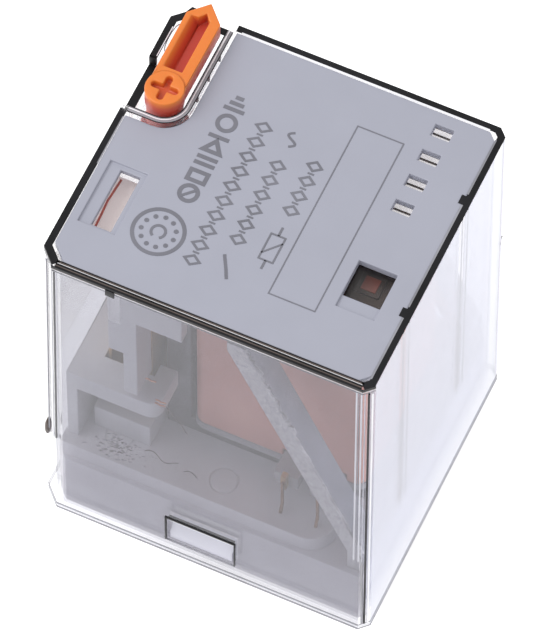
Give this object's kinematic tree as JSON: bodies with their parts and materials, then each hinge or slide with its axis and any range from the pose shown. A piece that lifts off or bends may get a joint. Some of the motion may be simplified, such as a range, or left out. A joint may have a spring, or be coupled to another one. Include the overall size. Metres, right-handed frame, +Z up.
{
  "type": "plug-in relay",
  "caption": "Clear-cased plug-in relay with a round keyed plug, hinged armature, three changeover contacts and an orange lockable test button.",
  "frame": {"origin": "centre of the pin circle on the seating face of the base, at the root of the keyed centre post", "axes": "+Z up from the socket to the top plate, -Y towards the face with the coil side seen beside the contacts, +X from the contacts to the coil"},
  "size_m": [0.0386, 0.0354, 0.0665],
  "materials": {
    "clear_polycarbonate": "clear gloss",
    "plate_plastic": "satin",
    "base_plastic": "satin",
    "orange_plastic": "satin gloss",
    "guide_plastic": "clear",
    "spring_steel": "bright",
    "flag_plastic": "printed red line",
    "bobbin_plastic": "satin",
    "copper_wire": "enamelled",
    "coil_tape": "polyester tape",
    "magnet_steel": "dull",
    "plated_steel": "punched edges",
    "copper": "bright",
    "card_plastic": "satin",
    "bronze_spring": "rolled",
    "silver_alloy": "satin",
    "brass": "rolled",
    "tinned_brass": "tin plated"
  },
  "bodies": {
    "case": {"cover": "clear_polycarbonate", "top_plate": "plate_plastic", "base": "base_plastic", "pin_1": "tinned_brass", "pin_2": "tinned_brass", "pin_3": "tinned_brass", "pin_4": "tinned_brass", "pin_5": "tinned_brass", "pin_6": "tinned_brass", "pin_7": "tinned_brass", "pin_8": "tinned_brass", "pin_9": "tinned_brass", "pin_10": "tinned_brass", "pin_11": "tinned_brass", "coil_bobbin": "bobbin_plastic", "coil_winding": "copper_wire", "coil_tape": "coil_tape", "core": "magnet_steel", "shading_ring": "copper", "yoke": "magnet_steel", "yoke_screws": "plated_steel", "magnet_strap": "plated_steel", "return_spring": "bronze_spring", "contact_block": "card_plastic", "open_blade_1": "brass", "open_blade_2": "brass", "open_blade_3": "brass", "closed_blade_1": "brass", "closed_blade_2": "brass", "closed_blade_3": "brass", "fixed_contacts": "silver_alloy", "coil_terminals": "brass", "coil_leads": "copper_wire", "flexible_leads": "copper", "plunger_spring": "spring_steel"},
    "armature": {"armature": "magnet_steel", "armature_card": "card_plastic", "indicator_flag": "flag_plastic"},
    "button": {"test_plunger": "guide_plastic"},
    "lever": {"test_lever": "orange_plastic"},
    "blade_1": {"moving_blade_1": "bronze_spring", "moving_contacts_1": "silver_alloy"},
    "blade_2": {"moving_blade_2": "bronze_spring", "moving_contacts_2": "silver_alloy"},
    "blade_3": {"moving_blade_3": "bronze_spring", "moving_contacts_3": "silver_alloy"}
  },
  "joints": [
    {"name": "armature_tilt", "type": "hinge", "parent": "case", "child": "armature", "pos_m": [-0.0076, 0, 0.0427], "axis": [0, 1, 0], "range_deg": [0, 4], "stiffness_Nm_per_rad": 0.05, "springref_deg": -5.73},
    {"name": "button_push", "type": "slide", "parent": "case", "child": "button", "axis": [0, 0, -1], "range_m": [0, 0.0016], "stiffness_N_per_m": 300, "springref_m": -0.002, "deforming": ["plunger_spring"]},
    {"name": "lever_turn", "type": "hinge", "parent": "button", "child": "lever", "pos_m": [-0.015, 0.0056, 0.0506], "axis": [0, 0, 1], "range_deg": [0, 90]},
    {"name": "blade_1_swing", "type": "hinge", "parent": "case", "child": "blade_1", "pos_m": [-0.01068, -0.0088, 0.0142], "axis": [0, 1, 0], "range_deg": [-5.4, 0]},
    {"name": "blade_2_swing", "type": "hinge", "parent": "case", "child": "blade_2", "pos_m": [-0.01068, 0, 0.0142], "axis": [0, 1, 0], "range_deg": [-5.4, 0]},
    {"name": "blade_3_swing", "type": "hinge", "parent": "case", "child": "blade_3", "pos_m": [-0.01068, 0.0088, 0.0142], "axis": [0, 1, 0], "range_deg": [-5.4, 0]}
  ],
  "couplings": [
    {"joint": "blade_1_swing", "follows": "armature_tilt", "ratio": -1.318},
    {"joint": "blade_2_swing", "follows": "armature_tilt", "ratio": -1.318},
    {"joint": "blade_3_swing", "follows": "armature_tilt", "ratio": -1.318}
  ]
}
